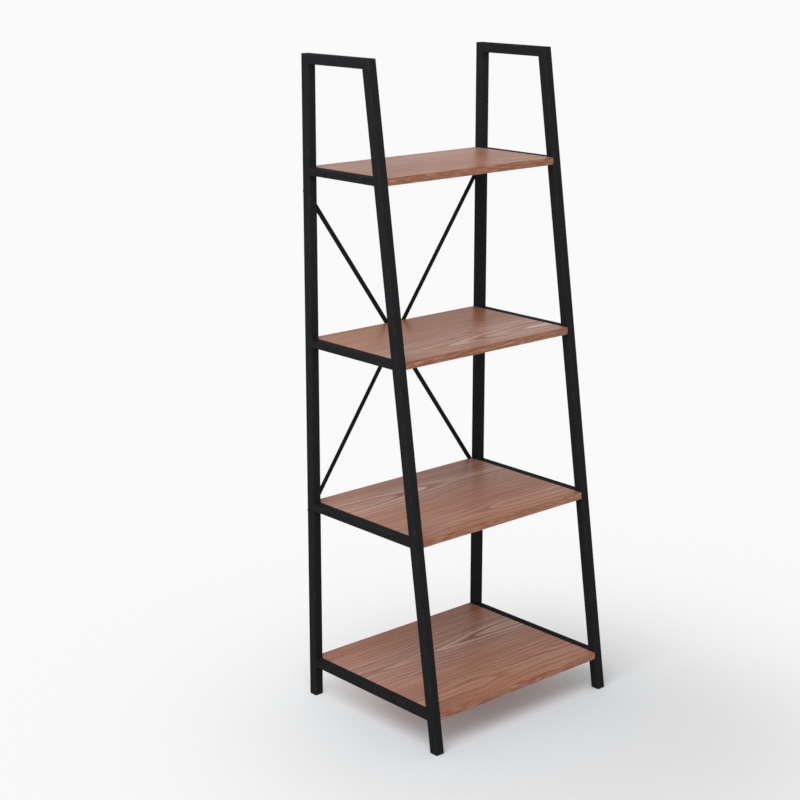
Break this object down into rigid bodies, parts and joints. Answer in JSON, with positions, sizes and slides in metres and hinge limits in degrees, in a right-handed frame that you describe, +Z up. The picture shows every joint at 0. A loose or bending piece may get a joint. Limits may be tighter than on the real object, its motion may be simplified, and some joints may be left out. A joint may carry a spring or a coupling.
{
  "type": "ladder shelf",
  "caption": "Free-standing ladder shelf: leaning-leg side frames of square tube hold wooden boards that get deeper towards the floor, with a flat-bar X brace behind.",
  "frame": {"origin": "on the floor, in the middle of the whole shelf's outline, hardware included", "axes": "+Z up; +Y towards the back, where the upright posts and the brace are; +X to the right when facing the front"},
  "size_m": [0.4996, 0.4088, 1.354],
  "materials": {
    "frame": "satin black powder coat with a fine texture",
    "board": "matt walnut laminate on engineered board, grain across the shelf's width, edges banded to match",
    "black_hardware": "black oxide",
    "zinc_hardware": "bright zinc plate",
    "foot_plug": "fine matt black"
  },
  "bodies": {
    "root": {"left_rear_post": "frame", "left_front_leg": "frame", "left_top_bar": "frame", "left_bottom_rung": "frame", "left_lower_rung": "frame", "left_upper_rung": "frame", "left_top_rung": "frame", "right_rear_post": "frame", "right_front_leg": "frame", "right_top_bar": "frame", "right_bottom_rung": "frame", "right_lower_rung": "frame", "right_upper_rung": "frame", "right_top_rung": "frame", "bottom_board": "board", "lower_board": "board", "upper_board": "board", "top_board": "board", "inner_brace": "frame", "outer_brace": "frame", "left_lower_brace_screw": "black_hardware", "left_lower_rivet_nut": "zinc_hardware", "left_upper_brace_screw": "black_hardware", "left_upper_rivet_nut": "zinc_hardware", "right_lower_brace_screw": "black_hardware", "right_lower_rivet_nut": "zinc_hardware", "right_upper_brace_screw": "black_hardware", "right_upper_rivet_nut": "zinc_hardware", "crossing_bolt": "black_hardware", "crossing_nut": "zinc_hardware", "left_rear_foot_plug": "foot_plug", "left_front_foot_plug": "foot_plug", "right_rear_foot_plug": "foot_plug", "right_front_foot_plug": "foot_plug", "left_bottom_front_screw": "black_hardware", "left_bottom_rear_screw": "black_hardware", "left_lower_front_screw": "black_hardware", "left_lower_rear_screw": "black_hardware", "left_upper_front_screw": "black_hardware", "left_upper_rear_screw": "black_hardware", "left_top_front_screw": "black_hardware", "left_top_rear_screw": "black_hardware", "right_bottom_front_screw": "black_hardware", "right_bottom_rear_screw": "black_hardware", "right_lower_front_screw": "black_hardware", "right_lower_rear_screw": "black_hardware", "right_upper_front_screw": "black_hardware", "right_upper_rear_screw": "black_hardware", "right_top_front_screw": "black_hardware", "right_top_rear_screw": "black_hardware"}
  },
  "joints": []
}
